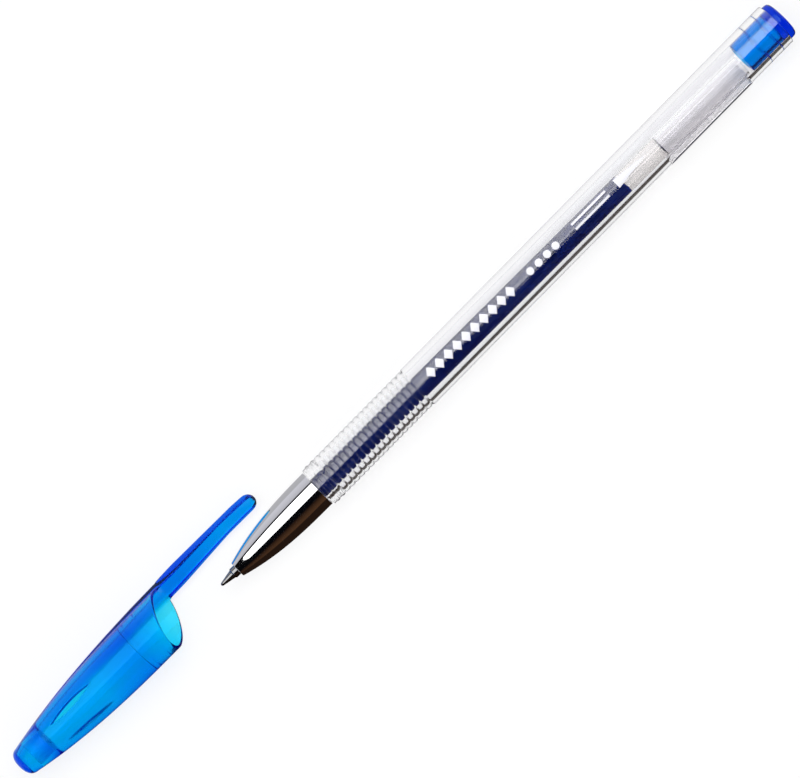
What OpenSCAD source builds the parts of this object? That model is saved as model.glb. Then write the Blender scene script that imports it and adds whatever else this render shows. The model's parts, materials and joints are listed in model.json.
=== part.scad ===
// Capped gel pen, lying on a table with its cap pulled off and set down just ahead of the tip.
// Stations along the pen are measured from the writing tip, rearwards.
// Stations along the cap are measured from its closed end, towards its mouth.
// Every turned piece is a profile of [radius, station] points revolved about its axis.

/* [Barrel] */
// Outer diameter of the plain barrel
barrel_d = 8.54; // [8:0.01:10]
// Diameter of the barrel's bore
bore_d = 6.34; // [6.2:0.01:6.6]
// Station of the collar face that the nose cone screws up against
barrel_front = 24.3; // [24.2:0.1:25]
// Station of the barrel's open rear end
barrel_rear = 138.9; // [132:0.1:150]
// Diameter over the two collar rings that the cap snaps past
collar_ring_d = 8.4; // [8.2:0.05:8.44]
// Length of the straight land at the rear, behind the moulded draft
rear_land_l = 9.6; // [6:0.1:9.6]
// Number of rings in the moulded grip
grip_rings = 18; // [6:1:18]
// Distance from one grip ring to the next
grip_pitch = 1.2; // [1:0.05:1.2]
// Depth of the grooves between the grip rings
groove_depth = 0.22; // [0.1:0.01:0.4]

/* [Nose cone] */
// Station of the nose cone's flat front face
nose_front = 4; // [3.8:0.1:4.4]
// Diameter of the front face
nose_front_d = 3.06; // [2.9:0.02:3.3]
// Diameter of the rear rim
nose_rear_d = 7.48; // [7.3:0.02:7.6]
// How quickly the ogive fills out
nose_fullness = 2.7; // [2:0.1:3]

/* [Refill] */
// Diameter of the writing ball
ball_d = 0.5; // [0.5:0.1:0.7]
// Outer diameter of the refill tube
tube_d = 4.15; // [3.9:0.05:4.3]
// Inner diameter of the refill tube
tube_bore_d = 3.2; // [3:0.05:3.3]
// Station of the refill tube's open rear end
tube_rear = 129.4; // [115:0.1:129.6]
// Station where the ink ends
ink_rear = 100; // [40:1:105]
// Length of the clear follower behind the ink
follower_l = 9; // [4:0.5:12]
// Sideways lean of the tube's rear end inside the bore
tube_lean_y = 0.78; // [0:0.01:0.8]
// Downward sag of the tube's rear end inside the bore
tube_sag_z = 0.5; // [0:0.01:0.6]

/* [End plug] */
// Diameter of the domed head behind the barrel
head_d = 7.52; // [7:0.02:8]
// Length of the domed head
head_l = 1.7; // [1.2:0.1:2.5]
// Length of the hollow spigot inside the barrel
spigot_l = 8.8; // [6:0.1:9]

/* [Label] */
// Station of the label's front edge
label_front = 108.5; // [60:0.1:110]
// Length of the label along the barrel
label_l = 20.2; // [10:0.1:20.2]
// Angle that the label wraps round the barrel
label_wrap = 125; // [60:1:170]
// Thickness of the label
label_t = 0.15; // [0.1:0.01:0.2]

/* [Cap] */
// Diameter of the closed end
cap_end_d = 5.4; // [5:0.1:5.8]
// Outer diameter at the mouth
cap_mouth_d = 10.38; // [10.2:0.02:11]
// Station of the mouth on the side away from the clip
mouth_short = 34.2; // [33:0.1:35]
// Station of the mouth on the clip's side
mouth_long = 39.4; // [38:0.1:40]
// Wall thickness of the cap's body
cap_wall = 0.75; // [0.6:0.05:0.8]
// Length of each lens-shaped vent slot
slot_l = 9.9; // [6:0.1:11]
// Width of each vent slot at its middle
slot_w = 1.1; // [0.6:0.1:1.4]

/* [Clip] */
// Station of the clip's tip
clip_tip = 62.6; // [55:0.1:66]
// Width of the clip where it leaves the cap
clip_w = 4.4; // [3.6:0.1:4.6]
// Distance from the cap's axis to the clip's inner face
clip_inner = 4.5; // [4.4:0.05:5]
// Height of the clip's spine above the cap's body at the mouth
clip_rise = 1.5; // [1:0.1:1.6]

/* [Resting place] */
// How far the cap has been drawn off, along the pen
cap_travel = 43.4; // [40:0.1:60]
// Sideways distance from the pen's axis to the cap's axis
cap_aside = 2.63; // [0:0.01:2.7]
// Roll of the clip below the horizontal
clip_roll = 31; // [25:1:31]

/* [Hidden] */
$fn = 96;

barrel_r = barrel_d / 2;
bore_r = bore_d / 2;
cap_r = cap_mouth_d / 2;
draft = 0.02;
overlap = 0.01;

// The pen stands on the label's underside, and the cap on the lower edge of its clip.
pen_z = barrel_r + label_t;
clip_corner = (cap_r + clip_rise) * sin(clip_roll) + clip_w / 2 * cos(clip_roll);
cap_z = clip_corner + 0.02;

// The seated cap's closed end stands this far ahead of the writing tip.
cap_overhang = 4.2;
cap_end_x = -cap_overhang - cap_travel;
pen_end_x = barrel_rear + head_l;
middle_x = (cap_end_x + pen_end_x) / 2;
clip_reach_y = (cap_r + clip_rise) * cos(clip_roll) + clip_w / 2 * sin(clip_roll);
pen_y = (barrel_r + label_t - cap_aside - clip_reach_y) / 2;

// The barrel's threaded spigot reaches forwards inside the nose cone.
thread_front = 16.6;
thread_r = 3.1;
thread_gap = 0.05;
throat_r = 2.45;
throat_rear = 27.1;
collar_r = 4.05;
grip_front = 27.2;
grip_rear = grip_front + grip_rings * grip_pitch;
grip_r = 4.15;

// Angle from the barrel's underside up to the label's edge on the cap's side of the pen.
label_edge = 25;

seat_x = 6.8;
holder_gap = 0.1;
shank_r = 1;
shank_rear = 11.4;
tube_front = 13.2;
holder_rear = 19;
channel_r = 0.7;
ink_slant = 10;

cap_step = 29.25;
step_r = 4.16;
cap_bore_r = collar_ring_d / 2 + 0.05;
cap_bore_mouth_r = cap_bore_r + 0.45;
seal_rear = 3.2;
seal_front = 6.7;
seal_r = 2.45;
slot_middle = 14.4;
slot_angle = 110;

// A profile of [radius, station] points, turned about the X axis.
module turned(profile) rotate([0, 90, 0]) rotate_extrude() polygon(profile);

// A straight round bar along X.
module bar(r, x0, x1) translate([x0, 0, 0]) rotate([0, 90, 0]) cylinder(r = r, h = x1 - x0);

module at_pen() translate([-middle_x, pen_y, pen_z]) children();

// The refill leans about its seat in the nose cone, until its tail rests against the bore.
module at_refill() {
  reach = tube_rear - seat_x;
  at_pen() translate([seat_x, 0, 0]) rotate([0, asin(tube_sag_z / reach), -asin(tube_lean_y / reach)])
    translate([-seat_x, 0, 0]) children();
}

module at_cap() translate([cap_end_x - middle_x, pen_y + cap_aside, cap_z])
  rotate([-clip_roll, 0, 0]) children();

// Each grip ring is a flat crest with a sloping side down to the groove before and after it.
function grip_profile() = [for (i = [0:grip_rings - 1]) each [
  [grip_r - groove_depth, grip_front + i * grip_pitch],
  [grip_r, grip_front + (i + 0.3) * grip_pitch],
  [grip_r, grip_front + (i + 0.7) * grip_pitch]]];

// A raised ring on the collar, wide at its foot and flat at its crest.
function collar_ring(x) = [
  [collar_r, x - 0.4],
  [collar_ring_d / 2, x - 0.1],
  [collar_ring_d / 2, x + 0.1],
  [collar_r, x + 0.4]];

module barrel() color([0.93, 0.93, 0.97, 0.35]) at_pen() difference() {
  turned(concat(
    [[0, thread_front], [thread_r - 0.3, thread_front], [thread_r, thread_front + 0.3],
      [thread_r, barrel_front], [collar_r - 0.1, barrel_front], [collar_r, barrel_front + 0.2]],
    collar_ring(25.3),
    collar_ring(26.6),
    grip_profile(),
    [[grip_r - groove_depth, grip_rear], [barrel_r - draft, grip_rear + 0.3],
      [barrel_r, barrel_rear - rear_land_l], [barrel_r, barrel_rear - 0.15],
      [barrel_r - 0.15, barrel_rear], [0, barrel_rear]]));
  bar(throat_r, thread_front - 1, throat_rear + 1);
  bar(bore_r, throat_rear, barrel_rear + 1);
}

// The head is a flat dome with a rounded shoulder.
function head_profile() = [for (a = [0:15:90])
  [head_d / 2 - 1.2 + 1.2 * cos(a), barrel_rear + head_l - 1.2 + 1.2 * sin(a)]];

// A sharp ring on the spigot that grips the bore.
function bore_ring(x) = [
  [bore_r - 0.09, x - 0.15],
  [bore_r, x - 0.1],
  [bore_r, x + 0.1],
  [bore_r - 0.09, x + 0.15]];

module end_plug() color([0.02, 0.25, 0.85, 0.8]) at_pen() difference() {
  turned(concat(
    [[0, barrel_rear - spigot_l], [bore_r - 0.5, barrel_rear - spigot_l],
      [bore_r - 0.09, barrel_rear - spigot_l + 0.5]],
    bore_ring(barrel_rear - 5.1),
    bore_ring(barrel_rear - 2.2),
    [[bore_r - 0.09, barrel_rear], [head_d / 2, barrel_rear]],
    head_profile(),
    [[0, barrel_rear + head_l]]));
  bar(bore_r - 0.9, barrel_rear - spigot_l - 1, barrel_rear - 1);
}

module barrel_label() color([0.8, 0.8, 0.82]) at_pen() rotate([0, 90, 0])
  rotate([0, 0, label_edge - label_wrap]) rotate_extrude(angle = label_wrap)
    translate([barrel_r, label_front]) square([label_t, label_l]);

function nose_r(t) = nose_front_d / 2 + (nose_rear_d - nose_front_d) / 2 * (1 - pow(1 - t, nose_fullness));

module nose_cone() color([0.75, 0.75, 0.77]) at_pen() {
  rear = barrel_front - 0.2;
  length = rear - nose_front;
  difference() {
    turned(concat(
      [[0, nose_front]],
      [for (t = [0:0.05:1.001]) [nose_r(t), nose_front + t * length]],
      [[0, rear]]));
    bar(1.1, nose_front - 1, seat_x);
    turned([[0, seat_x], [1.65, seat_x], [2.4, 12.7], [2.6, 16.3], [0, 16.3]]);
    bar(thread_r + thread_gap, 16.3 - overlap, rear + 1);
  }
}

module refill_tube() color([0.9, 0.9, 0.92, 0.4]) at_refill() difference() {
  bar(tube_d / 2, tube_front, tube_rear);
  bar(tube_bore_d / 2, tube_front - 1, tube_rear + 1);
}

// The ink's rear surface is a slanted meniscus, and the follower starts on the same slant.
module behind_meniscus() translate([ink_rear, 0, 0]) rotate([0, 0, ink_slant]) translate([0, -10, -10])
  cube([40, 20, 20]);

module gel_ink() color([0.02, 0.04, 0.22]) at_refill() difference() {
  union() {
    bar(0.45, 2.1, shank_rear);
    bar(channel_r, shank_rear, holder_rear);
    bar(tube_bore_d / 2, holder_rear, ink_rear + 3);
  }
  behind_meniscus();
}

module ink_follower() color([0.9, 0.9, 0.85, 0.5]) at_refill() intersection() {
  bar(tube_bore_d / 2, ink_rear - 3, ink_rear + follower_l);
  behind_meniscus();
}

module tip_holder() color([0.88, 0.88, 0.9]) at_refill() difference() {
  turned([[0, seat_x + holder_gap], [1.45, seat_x + holder_gap], [1.7, 8.5], [1.9, 10.5],
    [tube_d / 2, 12.4], [tube_d / 2, tube_front], [tube_bore_d / 2, tube_front],
    [tube_bore_d / 2, holder_rear], [0, holder_rear]]);
  bar(shank_r, seat_x - 1, shank_rear);
  bar(channel_r, shank_rear - overlap, holder_rear + 1);
}

module tip_body() color([0.78, 0.76, 0.7]) at_refill() difference() {
  turned([[0, 0.14], [ball_d / 2 + 0.03, 0.14], [ball_d / 2 + 0.12, 0.5], [0.8, 2.8],
    [shank_r, 3], [shank_r, shank_rear], [0, shank_rear]]);
  translate([ball_d / 2, 0, 0]) sphere(r = ball_d / 2 + 0.015);
  bar(0.12, 0.3, 2.2);
  bar(0.45, 2.1, shank_rear + 1);
}

module writing_ball() color([0.6, 0.6, 0.62]) at_refill() translate([ball_d / 2, 0, 0])
  sphere(r = ball_d / 2);

// Outer radius of the cap's body: it swells quickly from the closed end and runs out level.
function cap_body_r(x) = let (t = min(1, max(0, (x - 1.5) / 32.2)))
  cap_end_d / 2 + (cap_mouth_d - cap_end_d) / 2 * (1 - pow(1 - t, 2.5));

function cap_cavity_r(x) = min(step_r, cap_body_r(x) - cap_wall);

// The clip's spine rises steadily out of the body and runs on level past the mouth.
function spine_r(x) = cap_body_r(x) + clip_rise * pow(min(1, x / mouth_long), 0.65);

module cap_body() difference() {
  turned(concat(
    [[0, 0], [cap_end_d / 2 - 0.9, 0], [cap_end_d / 2 - 0.3, 0.4]],
    [for (x = [1.5:2.3:34]) [cap_body_r(x), x]],
    [[cap_r, mouth_long + 4], [0, mouth_long + 4]]));
  translate([(mouth_long + mouth_short) / 2, 0, 0])
    rotate([0, 0, -atan((mouth_long - mouth_short) / cap_mouth_d)])
      translate([0, -20, -20]) cube([30, 40, 40]);
}

// The clip is its side outline crossed with its plan outline.
module clip() intersection() {
  translate([0, 0, -clip_w]) linear_extrude(2 * clip_w) polygon(concat(
    [[1, 1.5]],
    [for (x = [1:3.84:mouth_long + 1]) [x, spine_r(x)]],
    [[clip_tip - 4, spine_r(clip_tip)], [clip_tip - 1.2, cap_r + clip_rise - 0.2],
      [clip_tip, cap_r + clip_rise - 0.9], [clip_tip, clip_inner + 0.7], [clip_tip - 1, clip_inner + 0.3],
      [clip_tip - 8, clip_inner + 0.6], [mouth_long + 4, clip_inner], [mouth_long - 4, clip_inner]]));
  translate([0, 10, 0]) rotate([90, 0, 0]) linear_extrude(20) {
    polygon([[1, -1.2], [14, -1.75], [34, -clip_w / 2], [mouth_long + 1, -clip_w / 2], [clip_tip - 1.7, -1.7],
      [clip_tip - 1.7, 1.7], [mouth_long + 1, clip_w / 2], [34, clip_w / 2], [14, 1.75], [1, 1.2]]);
    translate([clip_tip - 1.7, 0]) circle(r = 1.7);
  }
}

// The cavity narrows at a step that the collar's first ring seats on, and its mouth opens out a little.
module cap_cavity() {
  turned(concat(
    [[0, 1.3], [1.8, 1.3], [seal_r - 0.2, seal_rear], [seal_r, seal_rear], [seal_r, seal_front]],
    [for (x = [7.2:2.2:28]) [cap_cavity_r(x), x]],
    [[step_r, cap_step + overlap], [0, cap_step + overlap]]));
  turned([[0, cap_step], [cap_bore_r, cap_step], [cap_bore_mouth_r, cap_step + 6.75],
    [cap_bore_mouth_r, mouth_long + 0.2], [0, mouth_long + 0.2]]);
}

// A lens-shaped slot is where two large round bars cross.
module vent_slot() {
  arc_r = (pow(slot_l, 2) / 4 + pow(slot_w, 2) / 4) / slot_w;
  intersection_for (side = [-1, 1])
    translate([slot_middle, 1, side * (arc_r - slot_w / 2)]) rotate([-90, 0, 0]) cylinder(r = arc_r, h = 6);
}

module cap_shell() color([0, 0.4, 1, 0.75]) at_cap() difference() {
  union() {
    cap_body();
    clip();
  }
  cap_cavity();
  for (a = [-slot_angle, slot_angle]) rotate([a, 0, 0]) vent_slot();
}

module cap_seal() color([0, 0.35, 0.65]) at_cap() turned([[0.65, seal_rear], [seal_r, seal_rear],
  [seal_r, seal_front], [1.3, seal_front]]);

barrel();
end_plug();
barrel_label();
nose_cone();
refill_tube();
gel_ink();
ink_follower();
tip_holder();
tip_body();
writing_ball();
cap_shell();
cap_seal();
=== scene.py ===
import json
import math

import bmesh
import bpy
from mathutils import Matrix, Vector


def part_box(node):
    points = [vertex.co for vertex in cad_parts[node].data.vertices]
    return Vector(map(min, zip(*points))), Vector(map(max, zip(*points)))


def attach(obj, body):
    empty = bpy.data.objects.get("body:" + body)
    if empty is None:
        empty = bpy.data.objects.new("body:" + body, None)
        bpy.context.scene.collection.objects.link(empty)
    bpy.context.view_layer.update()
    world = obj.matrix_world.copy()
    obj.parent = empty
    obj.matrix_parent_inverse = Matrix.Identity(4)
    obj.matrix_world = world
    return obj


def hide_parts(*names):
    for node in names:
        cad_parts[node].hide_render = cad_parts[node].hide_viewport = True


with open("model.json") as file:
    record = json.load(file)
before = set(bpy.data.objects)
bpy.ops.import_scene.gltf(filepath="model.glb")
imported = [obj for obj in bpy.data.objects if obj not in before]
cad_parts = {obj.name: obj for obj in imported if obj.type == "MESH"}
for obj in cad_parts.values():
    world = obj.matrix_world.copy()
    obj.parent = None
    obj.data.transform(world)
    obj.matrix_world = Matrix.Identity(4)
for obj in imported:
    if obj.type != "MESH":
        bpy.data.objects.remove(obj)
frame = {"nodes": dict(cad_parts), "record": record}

MM = 0.001
SEGMENTS = 144  # round each turned piece
SHARP_ANGLE = math.radians(35)
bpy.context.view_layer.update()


# ---------------------------------------------------------------- the pen's sizes, as in the CAD model

BARREL_R = 4.27
BORE_R = 3.17
BARREL_REAR = 138.9
LABEL_THICKNESS = 0.15
SEAT_X = 6.8  # where the tip holder sits in the nose cone
HOLDER_REAR = 19
SHANK_R = 1.0
SHANK_REAR = 11.4
CHANNEL_R = 0.7  # the ink channel in the tip holder
TUBE_R = 2.075
TUBE_BORE_R = 1.6
TUBE_FRONT = 13.2
TUBE_REAR = 129.4


# ---------------------------------------------------------------- places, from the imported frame

def middle(cad_node):
    """The middle of a CAD node's box."""
    low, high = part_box(cad_node)
    return (low + high) / 2


def mount_point(name):
    """Where the record puts a mount."""
    return Vector(next(m for m in frame["record"]["mounts"] if m["name"] == name)["pos_m"])


pen_axis = middle("barrel")
tip_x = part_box("writing_ball")[0].x
AT_PEN = Matrix.Translation((tip_x, pen_axis.y, pen_axis.z))

# The refill leans from its seat in the nose to where its tail rests on the barrel's bore.
seat = AT_PEN @ Vector((SEAT_X * MM, 0, 0))
tube_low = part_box("refill_tube")[0]
tail = Vector((tip_x + TUBE_REAR * MM, tube_low.y + TUBE_R * MM, tube_low.z + TUBE_R * MM))
lean = Vector((1, 0, 0)).rotation_difference(tail - seat).to_matrix().to_4x4()
AT_REFILL = Matrix.Translation(seat) @ lean @ Matrix.Translation((-SEAT_X * MM, 0, 0))

cap_axis = middle("cap_seal")
clip_foot = mount_point("pocket_clip")
clip_roll = math.atan2(cap_axis.z - clip_foot.z, clip_foot.y - cap_axis.y)
AT_CAP = (Matrix.Translation((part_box("cap_shell")[0].x, cap_axis.y, cap_axis.z))
          @ Matrix.Rotation(-clip_roll, 4, "X"))


# ---------------------------------------------------------------- node helpers

def node(tree, kind, inputs, **settings):
    """A shader node whose inputs are given as values or as the sockets that feed them."""
    made = tree.nodes.new("ShaderNode" + kind)
    for key, value in settings.items():
        setattr(made, key, value)
    for key, value in inputs.items():
        if isinstance(value, bpy.types.NodeSocket):
            tree.links.new(value, made.inputs[key])
        else:
            made.inputs[key].default_value = value
    return made


def new_material(name, colour, **values):
    """A Principled material. Its values are socket names with underscores for spaces."""
    made = bpy.data.materials.new(name)
    made.use_nodes = True
    shader = made.node_tree.nodes["Principled BSDF"]
    shader.inputs["Base Color"].default_value = (*colour, 1)
    for key, value in values.items():
        shader.inputs[key.replace("_", " ")].default_value = value
    return made, made.node_tree, shader


def object_noise(tree, per_mm, detail=3.0, distortion=0.0):
    """Noise on the object's own coordinates, with per_mm ripples along each axis."""
    coords = node(tree, "TexCoord", {})
    scaled = node(tree, "VectorMath", {0: coords.outputs["Object"], 1: [n / MM for n in per_mm]},
                  operation="MULTIPLY")
    made = node(tree, "TexNoise", {"Vector": scaled.outputs[0], "Scale": 1.0, "Detail": detail,
                                   "Distortion": distortion})
    return made.outputs["Fac"]


def ranged(tree, value, low, high, start=0.3, end=0.7):
    """value from start to end, mapped to low to high."""
    made = node(tree, "MapRange", {"Value": value, "From Min": start, "From Max": end,
                                   "To Min": low, "To Max": high})
    return made.outputs["Result"]


def bumped(tree, shader, height, depth_mm):
    """Gives the shader's surface a relief, depth_mm deep where height is 1."""
    bump = node(tree, "Bump", {"Height": height, "Distance": depth_mm * MM, "Strength": 1.0})
    tree.links.new(bump.outputs["Normal"], shader.inputs["Normal"])


def mixed(tree, factor, one, two):
    """A colour from one to two, each given as red, green and blue or as the socket that feeds it."""
    one, two = (c if isinstance(c, bpy.types.NodeSocket) else (*c, 1) for c in (one, two))
    made = node(tree, "Mix", {0: factor, 6: one, 7: two}, data_type="RGBA")
    return made.outputs[2]


def math_node(tree, operation, one, two):
    """The result of one operation on two values, kept between 0 and 1."""
    return node(tree, "Math", {0: one, 1: two}, operation=operation, use_clamp=True).outputs[0]


def painted_edge_shade(tree, shader, face_on, grazing, start=0.72, end=1.0):
    """Painted shade: the plastic's colour greys where it is seen edge on.

    start and end are the facing weights where the grazing colour sets in and where it is reached.
    """
    weight = node(tree, "LayerWeight", {"Blend": 0.5})
    share = ranged(tree, weight.outputs["Facing"], 0.0, 1.0, start, end)
    tree.links.new(mixed(tree, share, face_on, grazing), shader.inputs["Base Color"])


def absorbing(tree, colour, density):
    """Colours light by its way through the plastic. density is per metre."""
    volume = node(tree, "VolumeAbsorption", {"Color": (*colour, 1), "Density": density})
    tree.links.new(volume.outputs[0], tree.nodes["Material Output"].inputs["Volume"])


# ---------------------------------------------------------------- materials

def clear_plastic(name, grazing, start, end):
    """Moulded clear styrene: faint flow lines along the pen, and rubbed patches. It greys towards grazing, as
    painted shade.
    """
    made, tree, shader = new_material(name, (0.97, 0.97, 0.99), Transmission_Weight=1.0,
                                      IOR=1.56, Roughness=0.02)
    # Painted shade: the clear plastic greys where it is seen edge on.
    painted_edge_shade(tree, shader, (0.972, 0.972, 0.984), grazing, start, end)
    rubbed = object_noise(tree, (0.08, 0.5, 0.5), detail=6)
    tree.links.new(ranged(tree, rubbed, 0.0, 0.015, 0.5, 0.75), shader.inputs["Roughness"])
    bumped(tree, shader, object_noise(tree, (0.02, 0.6, 0.6), detail=1), 0.0006)
    return made


def tube_plastic():
    """Drawn polypropylene tube, a little milky, with draw lines along it."""
    made, tree, shader = new_material("refill_polypropylene", (0.96, 0.955, 0.96),
                                      Transmission_Weight=1.0, IOR=1.49, Roughness=0.05)
    # Painted shade: the tube greys where it is seen edge on.
    painted_edge_shade(tree, shader, (0.955, 0.95, 0.955), (0.5, 0.5, 0.54))
    tree.links.new(ranged(tree, object_noise(tree, (0.3, 2.0, 2.0), detail=4), 0.03, 0.1),
                   shader.inputs["Roughness"])
    bumped(tree, shader, object_noise(tree, (0.01, 2.0, 2.0), detail=2), 0.0012)
    return made


def blue_plastic(name, skin, gloss, colour, density):
    """Translucent blue plastic with a satin, slightly wavy skin, whose colour comes from its thickness.

    gloss tints what the skin reflects, and density is how strongly the plastic absorbs, per metre.
    """
    made, tree, shader = new_material(name, skin, Transmission_Weight=1.0, IOR=1.49, Roughness=0.1,
                                      Specular_Tint=(*gloss, 1))
    tree.links.new(ranged(tree, object_noise(tree, (0.6, 1.2, 1.2), detail=6), 0.07, 0.17),
                   shader.inputs["Roughness"])
    bumped(tree, shader, object_noise(tree, (0.12, 0.35, 0.35), detail=2), 0.0025)
    absorbing(tree, colour, density)
    return made


def nose_chrome():
    """Bright chrome plate with fine polishing rings and a few handling marks."""
    made, tree, shader = new_material("nose_chrome_plate", (0.80, 0.80, 0.82), Metallic=1.0, Roughness=0.05)
    rings = object_noise(tree, (22.0, 0.15, 0.15), detail=3)
    marks = object_noise(tree, (1.4, 3.0, 3.0), detail=8, distortion=1.5)
    tree.links.new(ranged(tree, marks, 0.03, 0.07, 0.45, 0.8), shader.inputs["Roughness"])
    bumped(tree, shader, rings, 0.0001)
    return made


def tip_metal():
    """Turned nickel silver, with the tool's rings round it."""
    made, tree, shader = new_material("tip_nickel_silver", (0.66, 0.62, 0.55), Metallic=1.0,
                                      Roughness=0.22)
    rings = object_noise(tree, (30.0, 0.2, 0.2), detail=4)
    tree.links.new(mixed(tree, ranged(tree, rings, 0.0, 1.0), (0.20, 0.205, 0.215), (0.30, 0.295, 0.29)),
                   shader.inputs["Base Color"])
    tree.links.new(ranged(tree, rings, 0.06, 0.14), shader.inputs["Roughness"])
    bumped(tree, shader, rings, 0.00025)
    return made


def ball_metal():
    """Ground carbide ball with a film of ink left on it."""
    made, tree, shader = new_material("ball_carbide", (0.32, 0.33, 0.36), Metallic=1.0, Roughness=0.3)
    film = object_noise(tree, (4.0, 4.0, 4.0), detail=4)
    inked = ranged(tree, film, 0.0, 1.0, 0.4, 0.6)
    tree.links.new(mixed(tree, inked, (0.38, 0.38, 0.40), (0.03, 0.05, 0.22)), shader.inputs["Base Color"])
    tree.links.new(ranged(tree, film, 0.18, 0.4), shader.inputs["Roughness"])
    bumped(tree, shader, object_noise(tree, (40.0, 40.0, 40.0)), 0.0002)
    return made


def ink():
    """Dark blue gel against the tube's wall, with thicker and thinner places."""
    made, tree, shader = new_material("gel_ink_blue", (0.004, 0.012, 0.12), Roughness=0.25, IOR=1.4,
                                      Specular_IOR_Level=0.25)
    drift = object_noise(tree, (0.12, 0.8, 0.8), detail=5)
    tree.links.new(mixed(tree, ranged(tree, drift, 0.0, 1.0), (0.002, 0.008, 0.095), (0.005, 0.018, 0.15)),
                   shader.inputs["Base Color"])
    tree.links.new(ranged(tree, drift, 0.18, 0.34), shader.inputs["Roughness"])
    bumped(tree, shader, object_noise(tree, (0.5, 1.5, 1.5), detail=3), 0.003)
    return made


def follower():
    """Clear grease with fine bubbles in it."""
    made, tree, shader = new_material("follower_grease", (0.95, 0.93, 0.90), Transmission_Weight=1.0,
                                      IOR=1.46, Roughness=0.08)
    tree.links.new(ranged(tree, object_noise(tree, (1.5, 1.5, 1.5), detail=4), 0.04, 0.2),
                   shader.inputs["Roughness"])
    bumped(tree, shader, object_noise(tree, (2.5, 2.5, 2.5), detail=4), 0.004)
    return made


def holder_plastic():
    """Natural, waxy moulded plastic."""
    made, tree, shader = new_material("holder_acetal", (0.80, 0.80, 0.78), Roughness=0.4,
                                      Subsurface_Weight=0.2, Subsurface_Scale=0.0006)
    tone = object_noise(tree, (1.0, 1.0, 1.0), detail=5)
    tree.links.new(mixed(tree, ranged(tree, tone, 0.0, 1.0), (0.74, 0.74, 0.71), (0.84, 0.84, 0.83)),
                   shader.inputs["Base Color"])
    tree.links.new(ranged(tree, tone, 0.32, 0.5), shader.inputs["Roughness"])
    bumped(tree, shader, object_noise(tree, (6.0, 6.0, 6.0)), 0.003)
    return made


def seal_rubber():
    """Soft blue-green moulded seal with a matt, speckled skin."""
    made, tree, shader = new_material("seal_elastomer", (0.02, 0.36, 0.62), Roughness=0.55)
    speck = object_noise(tree, (7.0, 7.0, 7.0), detail=4)
    tree.links.new(mixed(tree, ranged(tree, speck, 0.0, 1.0), (0.01, 0.30, 0.55), (0.04, 0.42, 0.68)),
                   shader.inputs["Base Color"])
    tree.links.new(ranged(tree, speck, 0.45, 0.65), shader.inputs["Roughness"])
    bumped(tree, shader, speck, 0.002)
    return made


LABEL_SPLIT_R = 4.35  # between the label's two faces
SHADE_LINE_BESIDE = 4.2  # the painted shade line lies this far to the near side of the pen's axis, and reaches this far below it
SHADE_LINE_DROP = 0.3  # and reaches this far below it
# The colour of the painted shade line along the label's near edge.
EDGE_SHADE = (0.012, 0.014, 0.04)


def label_paper():
    """Matt coated paper: fibres, mottling, a soft sheen, and a dark line along its near edge.

    The line is painted shade, on the outer face only.
    """
    made, tree, shader = new_material("label_paper", (0.76, 0.75, 0.75), Roughness=0.7, Sheen_Weight=0.15)
    mottle = object_noise(tree, (0.5, 0.5, 0.5), detail=8)
    fibre = object_noise(tree, (2.0, 12.0, 12.0), detail=3, distortion=1.0)
    paper = mixed(tree, ranged(tree, mottle, 0.0, 1.0), (0.76, 0.75, 0.745), (0.85, 0.84, 0.835))
    # The dark line along the near edge is painted shade, on the outer face only.
    coords = node(tree, "TexCoord", {})
    off_axis = node(tree, "VectorMath", {0: coords.outputs["Object"], 1: (0, pen_axis.y, pen_axis.z)},
                    operation="SUBTRACT")
    flat = node(tree, "VectorMath", {0: off_axis.outputs[0], 1: (0, 1, 1)}, operation="MULTIPLY")
    radius = node(tree, "VectorMath", {0: flat.outputs[0]}, operation="LENGTH").outputs["Value"]
    spot = node(tree, "SeparateXYZ", {"Vector": flat.outputs[0]})
    outside = math_node(tree, "GREATER_THAN", radius, LABEL_SPLIT_R * MM)
    beside = math_node(tree, "LESS_THAN", spot.outputs["Y"], -SHADE_LINE_BESIDE * MM)
    high = math_node(tree, "GREATER_THAN", spot.outputs["Z"], -SHADE_LINE_DROP * MM)
    shade_line = math_node(tree, "MULTIPLY", outside, math_node(tree, "MULTIPLY", beside, high))
    tree.links.new(mixed(tree, shade_line, paper, EDGE_SHADE), shader.inputs["Base Color"])
    tree.links.new(ranged(tree, fibre, 0.6, 0.8), shader.inputs["Roughness"])
    bumped(tree, shader, fibre, 0.0012)
    return made


def foil():
    """Hot-stamped white silver foil, faintly grained by the stamp."""
    made, tree, shader = new_material("print_foil", (0.60, 0.60, 0.64), Metallic=0.3, Roughness=0.5)
    grain = object_noise(tree, (8.0, 8.0, 8.0), detail=6)
    tree.links.new(mixed(tree, ranged(tree, grain, 0.0, 1.0), (0.56, 0.56, 0.60), (0.68, 0.68, 0.72)),
                   shader.inputs["Base Color"])
    tree.links.new(ranged(tree, grain, 0.42, 0.6), shader.inputs["Roughness"])
    bumped(tree, shader, grain, 0.001)
    return made


# ---------------------------------------------------------------- mesh helpers

def softened(points, steps=5):
    """A closed outline of (station, radius) points. A third number rounds a corner to about that radius."""
    longest = 0.49  # the share of a side that a rounded corner may take
    made = []
    for i, point in enumerate(points):
        here = Vector(point[:2])
        if len(point) == 2:
            made.append(here)
            continue
        before = Vector(points[i - 1][:2]) - here
        after = Vector(points[(i + 1) % len(points)][:2]) - here
        reach = point[2] / math.tan(before.angle(after) / 2)
        start = here + before.normalized() * min(reach, before.length * longest)
        end = here + after.normalized() * min(reach, after.length * longest)
        for k in range(steps + 1):
            t = k / steps
            made.append(start * (1 - t) ** 2 + here * 2 * t * (1 - t) + end * t ** 2)
    return made


def linked(name, data):
    """A new object of data, which is a mesh, a camera or a light, in the scene."""
    made = bpy.data.objects.new(name, data)
    bpy.context.scene.collection.objects.link(made)
    return made


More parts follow.
